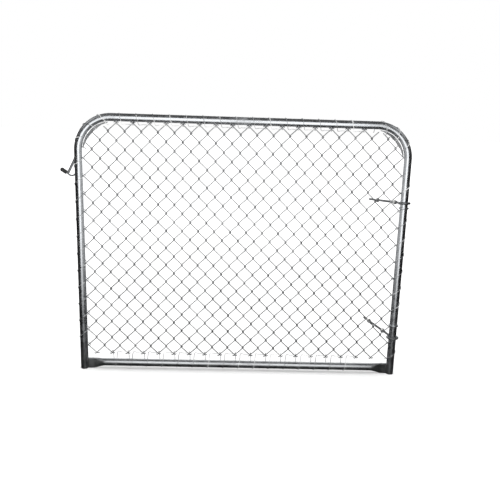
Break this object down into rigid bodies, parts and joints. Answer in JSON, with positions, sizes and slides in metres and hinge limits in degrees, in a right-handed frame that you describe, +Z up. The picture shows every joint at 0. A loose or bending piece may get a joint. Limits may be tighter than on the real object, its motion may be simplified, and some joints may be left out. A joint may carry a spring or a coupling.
{
  "type": "livestock panel gate",
  "caption": "Farm gate: a bent galvanised tube hoop with a bottom rail, laced diamond mesh, swivelling eye bolts on the hinge leg and a hook on the latch leg.",
  "frame": {"origin": "hinge leg's axis at the leg's foot", "axes": "+X points from the latch leg to the hinge leg, along the gate; +Y is out of the gate's plane, to the side its hinge bolts point to; +Z is up"},
  "size_m": [1.5098, 0.32, 1.1463],
  "materials": {
    "galvanised_tube": "hot-dip galvanised, satin with faint spangle",
    "galvanised_bar": "galvanised bar, slightly rough",
    "mesh_wire": "galvanised wire",
    "lacing_wire": "soft galvanised tie wire",
    "zinc_fastener": "zinc-plated nuts and washers",
    "weld": "rippled weld under zinc paint",
    "black_sleeve": "black plastic sleeve"
  },
  "bodies": {
    "gate_panel": {"frame_hoop": "galvanised_tube", "bottom_rail": "galvanised_tube", "rail_welds": "weld", "corner_ties": "mesh_wire", "stop_collars": "galvanised_tube", "latch_hook": "galvanised_bar", "hook_sleeve": "black_sleeve", "lacing_top": "lacing_wire", "lacing_latch_leg": "lacing_wire", "lacing_hinge_leg": "lacing_wire", "lacing_rail": "lacing_wire", "mesh_wire_01": "mesh_wire", "mesh_wire_02": "mesh_wire", "mesh_wire_03": "mesh_wire", "mesh_wire_04": "mesh_wire", "mesh_wire_05": "mesh_wire", "mesh_wire_06": "mesh_wire", "mesh_wire_07": "mesh_wire", "mesh_wire_08": "mesh_wire", "mesh_wire_09": "mesh_wire", "mesh_wire_10": "mesh_wire", "mesh_wire_11": "mesh_wire", "mesh_wire_12": "mesh_wire", "mesh_wire_13": "mesh_wire", "mesh_wire_14": "mesh_wire", "mesh_wire_15": "mesh_wire", "mesh_wire_16": "mesh_wire", "mesh_wire_17": "mesh_wire", "mesh_wire_18": "mesh_wire", "mesh_wire_19": "mesh_wire", "mesh_wire_20": "mesh_wire", "mesh_wire_21": "mesh_wire", "mesh_wire_22": "mesh_wire", "mesh_wire_23": "mesh_wire", "mesh_wire_24": "mesh_wire", "mesh_wire_25": "mesh_wire", "mesh_wire_26": "mesh_wire", "mesh_wire_27": "mesh_wire", "mesh_wire_28": "mesh_wire", "mesh_wire_29": "mesh_wire", "mesh_wire_30": "mesh_wire", "mesh_wire_31": "mesh_wire", "mesh_wire_32": "mesh_wire", "mesh_wire_33": "mesh_wire", "mesh_wire_34": "mesh_wire", "mesh_wire_35": "mesh_wire", "mesh_wire_36": "mesh_wire", "mesh_wire_37": "mesh_wire", "mesh_wire_38": "mesh_wire", "mesh_wire_39": "mesh_wire"},
    "upper_bolt": {"upper_eye_bolt": "galvanised_bar"},
    "upper_inner_set": {"upper_inner_nut": "zinc_fastener", "upper_inner_washer": "zinc_fastener"},
    "upper_outer_set": {"upper_outer_nut": "zinc_fastener", "upper_outer_washer": "zinc_fastener"},
    "lower_bolt": {"lower_eye_bolt": "galvanised_bar"},
    "lower_inner_set": {"lower_inner_nut": "zinc_fastener", "lower_inner_washer": "zinc_fastener"},
    "lower_outer_set": {"lower_outer_nut": "zinc_fastener", "lower_outer_washer": "zinc_fastener"}
  },
  "joints": [
    {"name": "upper_hinge", "type": "hinge", "parent": "gate_panel", "child": "upper_bolt", "pos_m": [0, 0, 0.796], "axis": [0, 0, 1], "range_deg": [-262, 48]},
    {"name": "upper_inner_nut_run", "type": "slide", "parent": "upper_bolt", "child": "upper_inner_set", "axis": [-0.2915, 0.9534, -0.0785], "range_m": [-0.03, 0.055]},
    {"name": "upper_outer_nut_run", "type": "slide", "parent": "upper_bolt", "child": "upper_outer_set", "axis": [-0.2915, 0.9534, -0.0785], "range_m": [-0.06, 0.02]},
    {"name": "lower_hinge", "type": "hinge", "parent": "gate_panel", "child": "lower_bolt", "pos_m": [0, 0, 0.176], "axis": [0, 0, 1], "range_deg": [-258.5, 51.5]},
    {"name": "lower_inner_nut_run", "type": "slide", "parent": "lower_bolt", "child": "lower_inner_set", "axis": [-0.2334, 0.9722, -0.0175], "range_m": [-0.03, 0.055]},
    {"name": "lower_outer_nut_run", "type": "slide", "parent": "lower_bolt", "child": "lower_outer_set", "axis": [-0.2334, 0.9722, -0.0175], "range_m": [-0.06, 0.01]}
  ]
}
